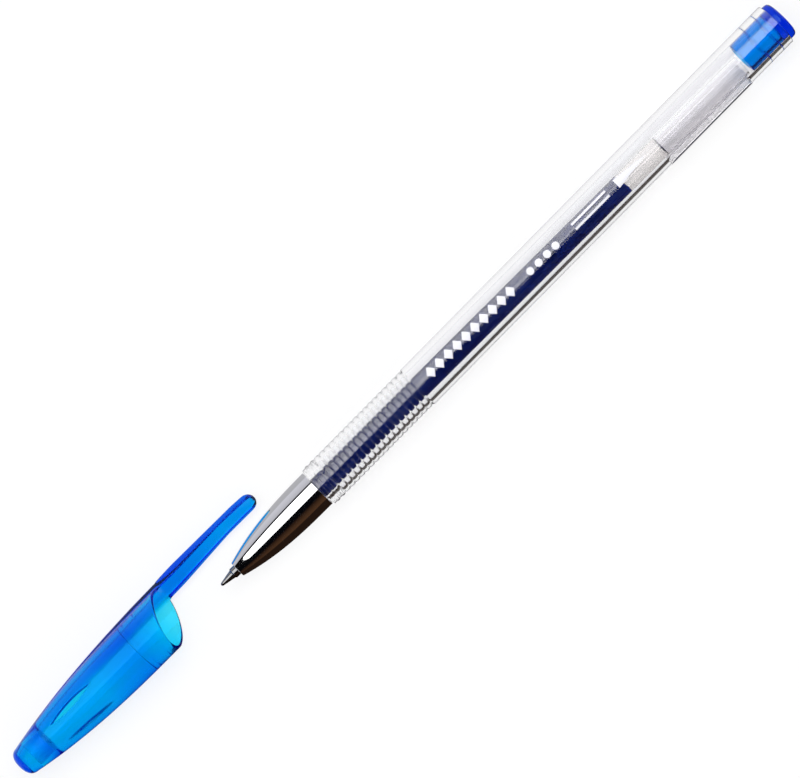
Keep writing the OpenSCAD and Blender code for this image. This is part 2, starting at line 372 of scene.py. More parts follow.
def finish_mesh(name, bm, place):
    """The object made of bm, which is in millimetres, put where place says."""
    bmesh.ops.recalc_face_normals(bm, faces=bm.faces)
    mesh = bpy.data.meshes.new(name)
    bm.to_mesh(mesh)
    bm.free()
    mesh.transform(place @ Matrix.Scale(MM, 4))
    mesh.shade_smooth()
    mesh.set_sharp_from_angle(angle=SHARP_ANGLE)
    return linked(name, mesh)


def turned(name, points, place, shape=None):
    """A closed outline turned about the X axis. shape moves each point, if it is given."""
    bm = bmesh.new()
    loops = []
    for x, r in softened(points):
        count = SEGMENTS if r > 1e-6 else 1
        turns = [2 * math.pi * k / count for k in range(count)]
        spots = [(x, r * math.cos(a), r * math.sin(a)) for a in turns]
        loops.append([bm.verts.new(shape(*spot) if shape else spot) for spot in spots])
    for one, two in zip(loops, loops[1:] + loops[:1]):
        for k in range(SEGMENTS):
            corners = [one[k % len(one)], one[(k + 1) % len(one)],
                       two[(k + 1) % len(two)], two[k % len(two)]]
            corners = list(dict.fromkeys(corners))
            if len(corners) > 2:
                bm.faces.new(corners)
    return finish_mesh(name, bm, place)


def spread(start, end, count):
    """count even steps from start to end, as count + 1 numbers."""
    return [start + (end - start) * i / count for i in range(count + 1)]


def wrapped_sheet(bm, radii, along, across, spot):
    """A thin sheet round the pen's axis, between two radii.

    spot gives a point's station and angle from its shares, 0 to 1, of the way along and across the sheet.
    """
    layers = []
    for radius in radii:
        rows = []
        for i in range(along + 1):
            spots = [spot(i / along, k / across) for k in range(across + 1)]
            rows.append([bm.verts.new((x, radius * math.cos(a), radius * math.sin(a))) for x, a in spots])
        layers.append(rows)
    for rows in layers:
        for i in range(along):
            for k in range(across):
                bm.faces.new((rows[i][k], rows[i][k + 1], rows[i + 1][k + 1], rows[i + 1][k]))
    inner, outer = layers
    edge = [(i, 0) for i in range(along)] + [(along, k) for k in range(across)]
    edge += [(along - i, across) for i in range(along)] + [(0, across - k) for k in range(across)]
    for (i, k), (j, m) in zip(edge, edge[1:] + edge[:1]):
        bm.faces.new((inner[i][k], inner[j][m], outer[j][m], outer[i][k]))


def belongs(piece, body, material, cad_node=None):
    """Gives a piece its material, or the first of its materials, and its body, and hides the CAD node that it
    stands for, if one is given.
    """
    piece.data.materials.append(material)
    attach(piece, body)
    if cad_node:
        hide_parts(cad_node)
    return piece


# ---------------------------------------------------------------- barrel

SPIGOT_FRONT = 16.6
BARREL_FRONT = 24.3
THROAT_REAR = 27.1
THROAT_R = 2.45
REAR_LAND = 9.6  # length of the straight land behind the moulded draft
COLLAR_R = 4.05
COLLAR_RINGS = (25.3, 26.6)
COLLAR_RING_HALF = 0.4
COLLAR_RING_HEIGHT = 0.15
GRIP_R = 4.15
GRIP_FRONT = 27.2
GRIP_RINGS = 18
GRIP_PITCH = 1.2
GROOVE_DEPTH = 0.22
GROOVE_POWER = 5  # the higher, the narrower the grooves
THREAD_R = 3.1
THREAD_PITCH = 0.65
THREAD_DEPTH = 0.2
THREAD_START = 17.2
THREAD_END = 23.4
THREAD_FADE = 0.5


def collar_ring(x):
    """A rounded ring on the collar."""
    return [(x + COLLAR_RING_HALF * t, COLLAR_R + COLLAR_RING_HEIGHT * (1 - t * t))
            for t in (-1, -0.8, -0.5, -0.2, 0.2, 0.5, 0.8, 1)]


def grip_beads():
    """Rings with broad crests and narrow grooves between them."""
    made = []
    steps = 12
    for i in range(GRIP_RINGS * steps):
        s = (i % steps) / steps
        depth = GROOVE_DEPTH * abs(2 * s - 1) ** GROOVE_POWER
        made.append((GRIP_FRONT + i * GRIP_PITCH / steps, GRIP_R - depth))
    return made


def threaded(x, y, z):
    """Cuts the spigot's screw thread into its plain cylinder. It fades in and out at its two ends."""
    skin = 0.05
    if not (THREAD_START < x < THREAD_END and math.hypot(y, z) > THREAD_R - skin):
        return (x, y, z)
    turn = (x / THREAD_PITCH - math.atan2(z, y) / (2 * math.pi)) % 1
    fade = min(1, (x - THREAD_START) / THREAD_FADE, (THREAD_END - x) / THREAD_FADE)
    cut = 1 - THREAD_DEPTH / THREAD_R * fade * abs(2 * turn - 1)
    return (x, y * cut, z * cut)


def barrel():
    """One moulding: threaded spigot, collar with two snap rings, ringed grip and plain tube."""
    thread_step = 0.08
    thread = [(17 + i * thread_step, THREAD_R) for i in range(84)]
    rings = [point for x in COLLAR_RINGS for point in collar_ring(x)]
    grip_rear = GRIP_FRONT + GRIP_RINGS * GRIP_PITCH
    outside = [
        (SPIGOT_FRONT, THREAD_R, 0.3), *thread, (BARREL_FRONT, THREAD_R, 0.1), (BARREL_FRONT, COLLAR_R, 0.15),
        *rings, *grip_beads(), (grip_rear, GRIP_R - GROOVE_DEPTH, 0.05),
        (grip_rear + 0.3, BARREL_R - 0.02, 0.12), (BARREL_REAR - REAR_LAND, BARREL_R),
        (BARREL_REAR, BARREL_R, 0.18)]
    inside = [(BARREL_REAR, BORE_R, 0.1), (THROAT_REAR, BORE_R, 0.15), (THROAT_REAR, THROAT_R, 0.1),
              (SPIGOT_FRONT, THROAT_R, 0.1)]
    return turned("barrel_tube", outside + inside, AT_PEN, shape=threaded)


def paint_bore(made):
    """Gives the bore's faces the material's second, darker copy, whose painted shade shows the bore's edge as
    a dark line.
    """
    margin = 0.2
    to_pen = AT_PEN.inverted()
    for face in made.data.polygons:
        spot = to_pen @ face.center
        if math.hypot(spot.y, spot.z) < (BORE_R + margin) * MM and spot.x > (THROAT_REAR - 0.1) * MM:
            face.material_index = 1


# ---------------------------------------------------------------- end plug

PLUG_R = BORE_R - 0.09
PLUG_L = 8.8
PLUG_HEAD_R = 3.76
PLUG_HEAD_L = 1.7
PLUG_RINGS = (5.1, 2.2)  # how far the two rings lie inside the barrel's rear end


def plug_ring(x):
    """A sharp ring that bites into the bore."""
    bite, half_foot, half_crest = 0.015, 0.16, 0.06
    return [(x - half_foot, PLUG_R), (x - half_crest, BORE_R + bite), (x + half_crest, BORE_R + bite),
            (x + half_foot, PLUG_R)]


def end_plug():
    """A domed head, and a spigot that is hollow up to a millimetre from it."""
    front = BARREL_REAR - PLUG_L
    rings = [point for inset in PLUG_RINGS for point in plug_ring(BARREL_REAR - inset)]
    return turned("end_plug_moulding", [
        (front, PLUG_R - 0.78, 0.06), (front, PLUG_R, 0.35), *rings,
        (BARREL_REAR, PLUG_R), (BARREL_REAR, PLUG_HEAD_R, 0.12),
        (BARREL_REAR + PLUG_HEAD_L - 0.2, PLUG_HEAD_R - 0.05, 1.0), (BARREL_REAR + PLUG_HEAD_L, 0),
        (BARREL_REAR - 1, 0), (BARREL_REAR - 1, PLUG_R - 0.8, 0.5)], AT_PEN)


# ---------------------------------------------------------------- label

LABEL_FRONT = 108.5
LABEL_L = 20.2
LABEL_FROM, LABEL_TO = math.radians(170), math.radians(295)
LABEL_CORNER = 0.9
GLUE = 0.004


def barrel_label():
    """A paper sheet wrapped round the underside, with rounded corners."""
    arc = (LABEL_TO - LABEL_FROM) * BARREL_R

    def spot(along, across):
        x = LABEL_FRONT + LABEL_L * along
        end_gap = LABEL_L * min(along, 1 - along)
        cut = LABEL_CORNER - math.sqrt(max(0, LABEL_CORNER ** 2 - max(0, LABEL_CORNER - end_gap) ** 2))
        return x, LABEL_FROM + (cut + (arc - 2 * cut) * across) / BARREL_R

    bm = bmesh.new()
    wrapped_sheet(bm, (BARREL_R + GLUE, BARREL_R + LABEL_THICKNESS), 40, 64, spot)
    return finish_mesh("barrel_label_paper", bm, AT_PEN)


# ---------------------------------------------------------------- nose and refill

NOSE_FRONT, NOSE_REAR = 4.0, 24.1
NOSE_FRONT_R, NOSE_REAR_R = 1.53, 3.74
NOSE_FULLNESS = 2.7
NOSE_STEPS = 40
NOSE_BORE_R = 3.15
NOSE_HOLE_R = 1.1


def nose_cone():
    """An ogive outside. Inside, a bore for the barrel's spigot and a seat for the tip holder."""
    ogive = []
    for t in [i / NOSE_STEPS for i in range(1, NOSE_STEPS)]:
        swell = (NOSE_REAR_R - NOSE_FRONT_R) * (1 - (1 - t) ** NOSE_FULLNESS)
        ogive.append((NOSE_FRONT + t * (NOSE_REAR - NOSE_FRONT), NOSE_FRONT_R + swell))
    return turned("nose_cone_shell", [
        (NOSE_FRONT, NOSE_HOLE_R, 0.06), (NOSE_FRONT, NOSE_FRONT_R + 0.02, 0.12), *ogive,
        (NOSE_REAR, NOSE_REAR_R, 0.12), (NOSE_REAR, NOSE_BORE_R, 0.08), (16.3, NOSE_BORE_R), (16.3, 2.6),
        (12.7, 2.4), (SEAT_X, 1.65), (SEAT_X, NOSE_HOLE_R)], AT_PEN)


def refill_tube():
    """A plain tube with broken edges."""
    return turned("refill_tube_wall", [
        (TUBE_FRONT, TUBE_R, 0.06), (TUBE_REAR, TUBE_R, 0.1), (TUBE_REAR, TUBE_BORE_R, 0.08),
        (TUBE_FRONT, TUBE_BORE_R, 0.06)], AT_REFILL)


INK_FRONT = 2.1
INK_REAR = 100.0
INK_R = TUBE_BORE_R + 0.02  # it wets the tube's wall
SHANK_INK_R = 0.45
SLANT = math.tan(math.radians(10))
SLANT_REACH = 4
FOLLOWER_REAR = 109.3
FOLLOWER_HOLLOW = 0.45


def slanted(x, y, z):
    """Leans the ink's rear surface, and what follows it, by the meniscus angle."""
    return (x - y * SLANT * max(0, 1 - abs(x - INK_REAR) / SLANT_REACH), y, z)


def gel_ink():
    """The ink fills the shank and the tip holder's channel, and then the tube."""
    return turned("gel_ink_column", [
        (INK_FRONT, 0), (INK_FRONT, SHANK_INK_R), (SHANK_REAR, SHANK_INK_R), (SHANK_REAR, CHANNEL_R),
        (HOLDER_REAR, CHANNEL_R), (HOLDER_REAR, INK_R), (INK_REAR - SLANT_REACH, INK_R),
        (INK_REAR, INK_R, 0.25), (INK_REAR, 0)], AT_REFILL, shape=slanted)


def ink_follower():
    """Its front follows the ink's slant, and its rear surface is hollowed by surface tension."""
    front = INK_REAR - 0.02
    hollow = [(FOLLOWER_REAR - FOLLOWER_HOLLOW * (1 - (r / INK_R) ** 2), r)
              for r in (1.5, 1.2, 0.9, 0.6, 0.3, 0)]
    return turned("ink_follower_plug", [
        (front, 0), (front, INK_R), (INK_REAR + SLANT_REACH, INK_R), (FOLLOWER_REAR, INK_R), *hollow],
        AT_REFILL, shape=slanted)


def tip_holder():
    """A tapered nose that sits in the cone, and a plug in the tube, with the tip's hole and the channel."""
    front = SEAT_X + 0.1
    return turned("tip_holder_moulding", [
        (front, SHANK_R, 0.05), (front, 1.45, 0.1), (8.5, 1.7, 0.5), (10.5, 1.9, 0.5), (12.4, TUBE_R, 0.2),
        (TUBE_FRONT, TUBE_R, 0.08), (TUBE_FRONT, TUBE_BORE_R), (HOLDER_REAR, TUBE_BORE_R, 0.15),
        (HOLDER_REAR, CHANNEL_R, 0.1), (SHANK_REAR, CHANNEL_R), (SHANK_REAR, SHANK_R)], AT_REFILL)


BALL_R = 0.25
SOCKET_GAP = 0.01


def tip_body():
    """A cone rolled in round the ball, a short cylinder, and the shank in the holder."""
    socket_r = BALL_R + SOCKET_GAP
    turns = [math.radians(a) for a in (150, 135, 120, 105, 90, 75)]
    socket = [(BALL_R - socket_r * math.cos(a), socket_r * math.sin(a)) for a in turns]
    bore_r = SHANK_INK_R + 0.01
    return turned("tip_body_turned", [
        (0.16, 0.262), (0.14, 0.285, 0.02), (0.5, 0.37, 0.1), (2.8, 0.8, 0.06), (3.0, SHANK_R, 0.08),
        (SHANK_REAR, SHANK_R, 0.1), (SHANK_REAR, bore_r), (2.2, bore_r), (2.2, 0.12), *socket], AT_REFILL)


# ---------------------------------------------------------------- cap

CAP_R = 5.19
CAP_END_R = 2.7
CAP_WALL = 0.75
CAP_SHARP_ANGLE = math.radians(60)
DOME_L = 1.5
DOME_BACK = 0.35  # how far the dome's far side falls back
SWELL_L = 32.2
MOUTH_SHORT = 34.2
MOUTH_LONG = 39.4
LEAN_START, LEAN_END = 33.2, 36.8
STEP_X = 29.25  # the cavity widens here to a bore, which opens out towards the mouth
STEP_R = 4.16
CAP_BORE_R = 4.25
CAP_BORE_MOUTH_R = 4.7
CAP_BORE_L = 6.75
BEADS = (30.1, 32.7)
BEAD_HEIGHT, BEAD_HALF = 0.05, 0.35
CLIP_TIP = 62.6
CLIP_TIP_ROUND = 1.7
CLIP_RISE = 1.5
CLIP_FOOT = math.radians(27)
FOOT_END = math.radians(39)
CLIP_STEPS = 96
SPINE_POWER = 6
SPINE_FILLET = 0.9
# Along the cap, as (station, value): the clip's half width, its top, its underside, and how square it is.
CLIP_HALF = [(1, 1.2), (14, 1.75), (34, 2.2), (40.4, 2.2), (60.9, 1.7)]
CLIP_TOP = [(40, CAP_R + CLIP_RISE), (58.6, CAP_R + CLIP_RISE), (61.4, 6.49), (62.2, 6.25), (62.6, 5.85)]
CLIP_UNDER = [(39.4, 4.5), (43.4, 4.5), (54.6, 5.1), (61.2, 4.9), (62.2, 5.05), (62.6, 5.4)]
CLIP_POWER = [(39.4, SPINE_POWER), (44, 11)]
SLOT_L, SLOT_W, SLOT_X = 9.9, 1.1, 14.4
SLOT_ANGLE = math.radians(110)
UNSCALED = Matrix.Scale(1 / MM, 4)  # keeps a mesh in millimetres


def eased(value, points):
    """Straight steps through (station, value) points."""
    for (x0, v0), (x1, v1) in zip(points, points[1:]):
        if value <= x1:
            return v0 + (v1 - v0) * max(0, (value - x0) / (x1 - x0))
    return points[-1][1]


def cap_body_r(x):
    """It swells quickly from the closed end and runs out level."""
    t = min(1, max(0, (x - DOME_L) / SWELL_L))
    return CAP_END_R + (CAP_R - CAP_END_R) * (1 - (1 - t) ** 2.5)


def spine_r(x):
    """The spine rises steadily out of the body and runs on level past the mouth."""
    return cap_body_r(x) + CLIP_RISE * min(1, x / MOUTH_LONG) ** 0.65


def box_r(angle, height, half, power):
    """Radius of a box, height above the axis and 2 * half wide. A higher power makes its corners sharper."""
    return ((math.cos(angle) / height) ** power + (abs(math.sin(angle)) / half) ** power) ** (-1 / power)


def outside_r(x, angle):
    """Radius of the cap's outside: the body, with the spine blended in by a fillet."""
    spine_reach = 0.3  # the cosine of an angle past the spine's foot
    body = cap_body_r(x)
    if math.cos(angle) < spine_reach:
        return body
    spine = box_r(angle, spine_r(x), eased(x, CLIP_HALF), SPINE_POWER)
    near = max(0, 1 - abs(body - spine) / SPINE_FILLET)
    return max(body, spine) + near * near * SPINE_FILLET / 4


def inside_r(x):
    """Radius of the cavity past the seal, with two faint beads behind the mouth."""
    if x <= STEP_X:
        return min(STEP_R, cap_body_r(x) - CAP_WALL)
    opening = (CAP_BORE_MOUTH_R - CAP_BORE_R) * (x - STEP_X) / CAP_BORE_L
    beads = sum(BEAD_HEIGHT * max(0, 1 - abs(x - at) / BEAD_HALF) for at in BEADS)
    return min(CAP_BORE_MOUTH_R, CAP_BORE_R + opening) - beads


def mouth_x(y):
    """Station of the slanted mouth at a height above the axis."""
    slope = (MOUTH_LONG - MOUTH_SHORT) / (2 * CAP_R)
    return (MOUTH_LONG + MOUTH_SHORT) / 2 + slope * min(CAP_R, y)


def slanted_x(x, y):
    """Rings are upright as far as LEAN_START. From there to LEAN_END they lean over to the slanted mouth."""
    if x <= LEAN_START:
        return x
    return LEAN_START + (x - LEAN_START) / (LEAN_END - LEAN_START) * (mouth_x(y) - LEAN_START)


def fallen_back(x, angle):
    """How far a point near the closed end falls back, the more the further it is from the clip."""
    reach = 8
    return DOME_BACK * max(0, 1 - x / reach) * (1 - math.cos(angle)) / 2


def cap_angles():
    """Half of the way round from the clip's middle, fine over the clip and coarse elsewhere."""
    fine = spread(0, CLIP_FOOT, CLIP_STEPS)
    foot = spread(CLIP_FOOT, FOOT_END, 12)
    rest = spread(FOOT_END, math.pi, 44)
    return fine + foot[1:] + rest[1:]


def clip_free_ring(x):
    """Half outline of the clip past the mouth: top and side points, then underside points."""
    blunt = 0.012  # leaves the tip's last ring a width
    edge_lift, under_share = 0.15, 0.93  # the lower edge is broken by this much
    past = max(0, x - (CLIP_TIP - CLIP_TIP_ROUND)) / CLIP_TIP_ROUND
    half = eased(x, CLIP_HALF) * math.sqrt(max(blunt, 1 - past * past))
    top, under, power = (eased(x, course) for course in (CLIP_TOP, CLIP_UNDER, CLIP_POWER))
    angles = spread(0, math.atan2(half, under + edge_lift), CLIP_STEPS)
    radii = [box_r(a, top, half, power) for a in angles]
    over = [(r * math.cos(a), r * math.sin(a)) for r, a in zip(radii, angles)]
    below = [(under, z) for z in spread(0, under_share * half, CLIP_STEPS)]
    return over, below


def flush(rings):
    """Puts the two ends of each half ring on the plane of symmetry."""
    for points in rings:
        for k in (0, -1):
            points[k] = (points[k][0], points[k][1], 0.0)
    return rings


def body_rings(angles):
    """Half rings of the cap's outside: a dome whose far side falls back a little, and then the body."""
    rings = []
    for t in (0.25, 0.5, 0.68, 0.8, 0.88, 0.94, 0.98):
        points = []
        for a in angles:
            r = t * outside_r(DOME_L, a)
            x = DOME_L * (1 - (1 - t ** 3.2) ** 0.5) + fallen_back(0, a) * t * t
            points.append((x, r * math.cos(a), abs(r * math.sin(a))))
        rings.append(points)
    for x in spread(DOME_L, LEAN_START, 64) + spread(LEAN_START, LEAN_END, 9)[1:]:
        points = []
        for a in angles:
            r = outside_r(x, a)
            y = r * math.cos(a)
            points.append((slanted_x(x, y) + fallen_back(x, a), y, abs(r * math.sin(a))))
        rings.append(points)
    return flush(rings)


def cavity_rings(angles):
    """Half rings of the inside: the closed end, the seal's pocket, and the bore as far as the mouth."""
    rings = []
    for x, r in softened([(1.3, 0.6), (1.3, 1.8, 0.3), (3.2, 2.25), (3.2, 2.47), (6.7, 2.47)]):
        rings.append([(x, r * math.cos(a), abs(r * math.sin(a))) for a in angles])
    stations = spread(7.2, 29.2, 40) + [STEP_X] + spread(29.3, LEAN_START, 26)
    for x in stations + spread(LEAN_START, LEAN_END, 9)[1:]:
        r = inside_r(x)
        rings.append([(slanted_x(x, r * math.cos(a)), r * math.cos(a), abs(r * math.sin(a))) for a in angles])
    return flush(rings)


def cap_shell():
    """The body with its cavity and mouth, and the clip, as one closed mesh. The vent slots are then cut."""
    angles = cap_angles()
    bm = bmesh.new()

    def ring(points):
        """A whole ring from its half, which runs from the clip's middle round to the far side."""
        right = [bm.verts.new(p) for p in points]
        left = [bm.verts.new((x, y, -z)) for x, y, z in points[1:-1]]
        return right + left[::-1]

    def join(one, two, closed=True):
        """Faces between two rings of the same count."""
        count = len(one)
        for k in range(count if closed else count - 1):
            m = (k + 1) % count
            bm.faces.new((one[k], one[m], two[m], two[k]))

    outer = [ring(points) for points in body_rings(angles)]
    inner = [ring(points) for points in cavity_rings(angles)]
    for rings in (outer, inner):
        for one, two in zip(rings, rings[1:]):
            join(one, two)
        bm.faces.new(rings[0])

    # The rounded rim between them goes all the way round, except under the clip.
    count = len(outer[-1])
    ridge = []
    for k in range(count):
        out, inn = outer[-1][k].co, inner[-1][k].co
        row = []
        for share, bulge in ((0.2, 0.11), (0.5, 0.17), (0.8, 0.11)):
            row.append(bm.verts.new(out.lerp(inn, share) + Vector((bulge, 0, 0))))
        ridge.append([outer[-1][k], *row, inner[-1][k]])
    for k in range(CLIP_STEPS, count - CLIP_STEPS):
        here, there = ridge[k], ridge[(k + 1) % count]
        for i in range(len(here) - 1):
            bm.faces.new((here[i], here[i + 1], there[i + 1], there[i]))
    for k in list(range(CLIP_STEPS)) + list(range(count - CLIP_STEPS + 1, count)):
        for v in ridge[k][1:-1]:
            bm.verts.remove(v)

    def free(points, x):
        """A row of points across the clip, from the half of it that is given."""
        half = [(x, y, z) for y, z in points]
        return [bm.verts.new((x, y, -z)) for x, y, z in half[:0:-1]] + [bm.verts.new(p) for p in half]

    stations = [39.75, 40.1, 40.6] + spread(41.2, 60.4, 32) + [60.9, 61.4, 61.8, 62.1, 62.35, 62.5, 62.6]
    over, under = [], []
    for x in stations:
        top, bottom = clip_free_ring(x)
        over.append(free(top, x))
        under.append(free(bottom, x))
    columns = list(range(count - CLIP_STEPS, count)) + list(range(CLIP_STEPS + 1))
    over.insert(0, [outer[-1][k] for k in columns])
    under.insert(0, [inner[-1][k] for k in columns])
    for rings in (over, under):
        for one, two in zip(rings, rings[1:]):
            join(one, two, closed=False)
    for side, k in ((0, count - CLIP_STEPS), (-1, CLIP_STEPS)):
        bm.faces.new([*ridge[k], under[1][side], over[1][side]])
        for i in range(1, len(stations)):
            bm.faces.new((over[i][side], under[i][side], under[i + 1][side], over[i + 1][side]))
    join(over[-1], under[-1], closed=False)
    made = finish_mesh("cap_shell_moulding", bm, UNSCALED)
    cut_slots(made)
    made.data.transform(AT_CAP @ Matrix.Scale(MM, 4))
    made.data.shade_smooth()
    made.data.set_sharp_from_angle(angle=CAP_SHARP_ANGLE)
    return made


def slot_cutters():
    """Two lens-shaped prisms that flare where they leave the body, one on each side of the clip."""
    arc_r = (SLOT_L ** 2 + SLOT_W ** 2) / (4 * SLOT_W)
    levels = [(-2.5, 0.0), (-0.16, 0.0), (-0.05, 0.05), (0.02, 0.16), (1.0, 0.3)]  # (height, flare)
    steps = 48
    bm = bmesh.new()
    for side in (-1, 1):
        turn = Matrix.Rotation(side * SLOT_ANGLE, 4, "X")
        layers = []
        for lift, flare in levels:
            along = SLOT_L / 2 + flare
            points = []
            for i in range(steps + 1):
                x = along * math.cos(math.pi * i / steps)
                half = math.sqrt(arc_r ** 2 - (x * SLOT_L / 2 / along) ** 2) - (arc_r - SLOT_W / 2)
                points.append((x, max(half + flare * math.sin(math.pi * i / steps), 0)))
            loop = points + [(x, -z) for x, z in points[-2:0:-1]]
            layers.append([bm.verts.new(turn @ Vector((SLOT_X + x, cap_body_r(SLOT_X + x) + lift, z)))
                           for x, z in loop])
        for one, two in zip(layers, layers[1:]):
            for k in range(len(one)):
                m = (k + 1) % len(one)
                bm.faces.new((one[k], one[m], two[m], two[k]))
        bm.faces.new(layers[0])
        bm.faces.new(layers[-1])
    return finish_mesh("slot_cutters", bm, UNSCALED)


def cut_slots(made):
    """Cuts the vent slots into the shell. Both meshes are in millimetres here."""
    cutters = slot_cutters()
    cut = made.modifiers.new("slots", "BOOLEAN")
    cut.operation = "DIFFERENCE"
    cut.solver = "MANIFOLD"
    cut.object = cutters
    bpy.context.view_layer.update()
    depsgraph = bpy.context.evaluated_depsgraph_get()
    mesh = bpy.data.meshes.new_from_object(made.evaluated_get(depsgraph))
    mesh.materials.clear()
    mesh.polygons.foreach_set("material_index", [0] * len(mesh.polygons))
    made.modifiers.clear()
    made.data = mesh
    bpy.data.objects.remove(cutters)


def cap_seal():
    """A soft plug whose hole narrows from its face to its back."""
    back, face, radius = 3.25, 6.65, 2.4
    return turned("cap_seal_plug", [(back, 0.65, 0.1), (back, radius, 0.15), (face, radius, 0.2),
                                    (face, 1.3, 0.15)], AT_CAP)


# ---------------------------------------------------------------- print

PRINT_ANGLE = math.radians(97)
FILM_BELOW, FILM_ABOVE = 0.006, 0.012  # how far the film reaches into the barrel's skin and out of it


def print_mark(bm, start, end, half, offset=0.0, along=14, across=10):
    """A thin film on the barrel, 2 * half(t) wide round it, as t goes from 0 at start to 1 at end."""

    def spot(t, share):
        return start + (end - start) * t, PRINT_ANGLE + (offset + half(t) * (2 * share - 1)) / BARREL_R

    wrapped_sheet(bm, (BARREL_R - FILM_BELOW, BARREL_R + FILM_ABOVE), along, across, spot)


def diamond(bm, at, half_l, half_h):
    print_mark(bm, at - half_l, at + half_l, lambda t: half_h * (1.02 - abs(2 * t - 1)))


def disc(bm, at, radius):
    print_mark(bm, at - radius, at + radius, lambda t: radius * math.sqrt(max(0.003, 1 - (2 * t - 1) ** 2)))


def rule(bm, start, end, offset, thick):
    print_mark(bm, start, end, lambda t: thick / 2, offset, along=40, across=3)


def dash(bm, start, end, half_h):
    """It tapers nearly to a point."""
    print_mark(bm, start, end, lambda t: half_h * (1.05 - t), along=30)


def barrel_print():
    """Plain ornament in place of a maker's printing: diamonds, discs, two rules and a tapering dash."""
    bm = bmesh.new()
    for i in range(10):
        diamond(bm, 52.6 + i * 2.2, half_l=0.95, half_h=1.15)
    for i in range(4):
        disc(bm, 77.4 + i * 2.1, radius=0.72)
    for offset in (-0.55, 0.55):
        rule(bm, 88.2, 96.6, offset, thick=0.42)
    dash(bm, 98.8, 105.8, half_h=0.9)
    return finish_mesh("barrel_print_film", bm, AT_PEN)


# ---------------------------------------------------------------- build

clear = clear_plastic("clear_styrene", (0.70, 0.70, 0.76), 0.72, 1.0)
# A darker copy of the clear plastic for the bore: its painted shade at grazing draws the bore's edge as a
# dark line.
bore_clear_shaded = clear_plastic("clear_styrene_bore", (0.3, 0.3, 0.35), 0.68, 0.88)
cap_blue = blue_plastic("cap_translucent_blue", skin=(1.0, 1.0, 1.0), gloss=(0.05, 0.5, 1.0),
                        colour=(0.0, 0.9, 0.99), density=6000)
plug_blue = blue_plastic("plug_translucent_blue", skin=(0.7, 0.8, 1.0), gloss=(0.3, 0.75, 1.0),
                         colour=(0.0, 0.93, 0.992), density=7000)

barrel_tube = belongs(barrel(), "barrel", clear, "barrel")
barrel_tube.data.materials.append(bore_clear_shaded)
paint_bore(barrel_tube)
belongs(end_plug(), "barrel", plug_blue, "end_plug")
belongs(barrel_label(), "barrel", label_paper(), "barrel_label")
belongs(barrel_print(), "barrel", foil())
belongs(nose_cone(), "nose", nose_chrome(), "nose_cone")
belongs(refill_tube(), "refill", tube_plastic(), "refill_tube")
belongs(gel_ink(), "refill", ink(), "gel_ink")
belongs(ink_follower(), "refill", follower(), "ink_follower")
belongs(tip_holder(), "refill", holder_plastic(), "tip_holder")
belongs(tip_body(), "refill", tip_metal(), "tip_body")
belongs(cap_shell(), "cap", cap_blue, "cap_shell")
belongs(cap_seal(), "cap", seal_rubber(), "cap_seal")

ball = frame["nodes"]["writing_ball"]
ball.data.materials.clear()
ball.data.materials.append(ball_metal())


# ---------------------------------------------------------------- stage, light and camera

CAMERA_TILT = math.radians(10)  # from straight above, towards the near side
PEN_SLOPE = math.radians(45.37)  # how steeply the pen rises in the picture
CAMERA_DISTANCE = 0.8
LENS_MM, SENSOR_MM = 204.5, 36
TABLE_HALF = 3.0
TABLE_DROP = 0.00003
TABLE_MATT, TABLE_GLOW = 0.14, 0.78
CARD_GAP = 0.0058  # from the pen's axis to the dark card that clear walls show
CARD_BLUR = 0.0004
SIDE_BLUR = 0.001
NEAR_FLOOR, FAR_FLOOR = (0.02, 0.01, 0.006), (0.52, 0.52, 0.54)
CARD, BEYOND_CARD = (0.03, 0.02, 0.014), (1.0, 1.0, 1.0)
# What shines sees of the room, from the near side (0) over the top (0.5) to the far side (1).
STUDIO = [(0.0, (0.08, 0.036, 0.016)), (0.08, (0.035, 0.016, 0.008)), (0.15, (0.002, 0.002, 0.003)),
          (0.83, (0.002, 0.002, 0.003)), (0.85, (0.55, 0.55, 0.59)), (1.0, (0.70, 0.70, 0.75))]
DARK_SIDE = (0.003, 0.003, 0.006)
ENDS = (0.8, 0.8, 0.82)
ENDS_FROM, ENDS_TO = 0.6, 0.8
NEAR_ROOM, FAR_ROOM = (1.2, 1.2, 1.22), (0.5, 0.5, 0.52)
BOUNCES = 32

towards_camera = Vector((0, -math.sin(CAMERA_TILT), math.cos(CAMERA_TILT)))
across_pen = Vector((0, math.cos(CAMERA_TILT), math.sin(CAMERA_TILT)))
along_pen = Vector((1, 0, 0))
target = along_pen * 0.0002 + across_pen * 0.00021 + towards_camera * 0.00479


def facing(place, right, up, back):
    """The matrix of a camera or a light at place that looks away from back."""
    made = Matrix((right, up, back)).transposed().to_4x4()
    made.translation = place
    return made


def camera():
    """It looks down on the pen, which rises from the lower left to the upper right."""
    data = bpy.data.cameras.new("camera")
    data.sensor_width = SENSOR_MM
    data.lens = LENS_MM
    data.clip_start, data.clip_end = 0.01, 20
    made = linked("camera", data)
    right = along_pen * math.cos(PEN_SLOPE) - across_pen * math.sin(PEN_SLOPE)
    up = along_pen * math.sin(PEN_SLOPE) + across_pen * math.cos(PEN_SLOPE)
    made.matrix_world = facing(target + towards_camera * CAMERA_DISTANCE, right, up, towards_camera)
    bpy.context.scene.camera = made


def softbox(name, angle, distance, width, length, watts):
    """A soft rectangular light, angle degrees from the camera's direction towards the pen's far side."""
    data = bpy.data.lights.new(name, "AREA")
    data.shape = "RECTANGLE"
    data.size, data.size_y = length, width
    data.energy = watts
    made = linked(name, data)
    angle = math.radians(angle)
    back = towards_camera * math.cos(angle) + across_pen * math.sin(angle)
    up = across_pen * math.cos(angle) - towards_camera * math.sin(angle)
    made.matrix_world = facing(target + back * distance, along_pen, up, back)
    made.visible_camera = False


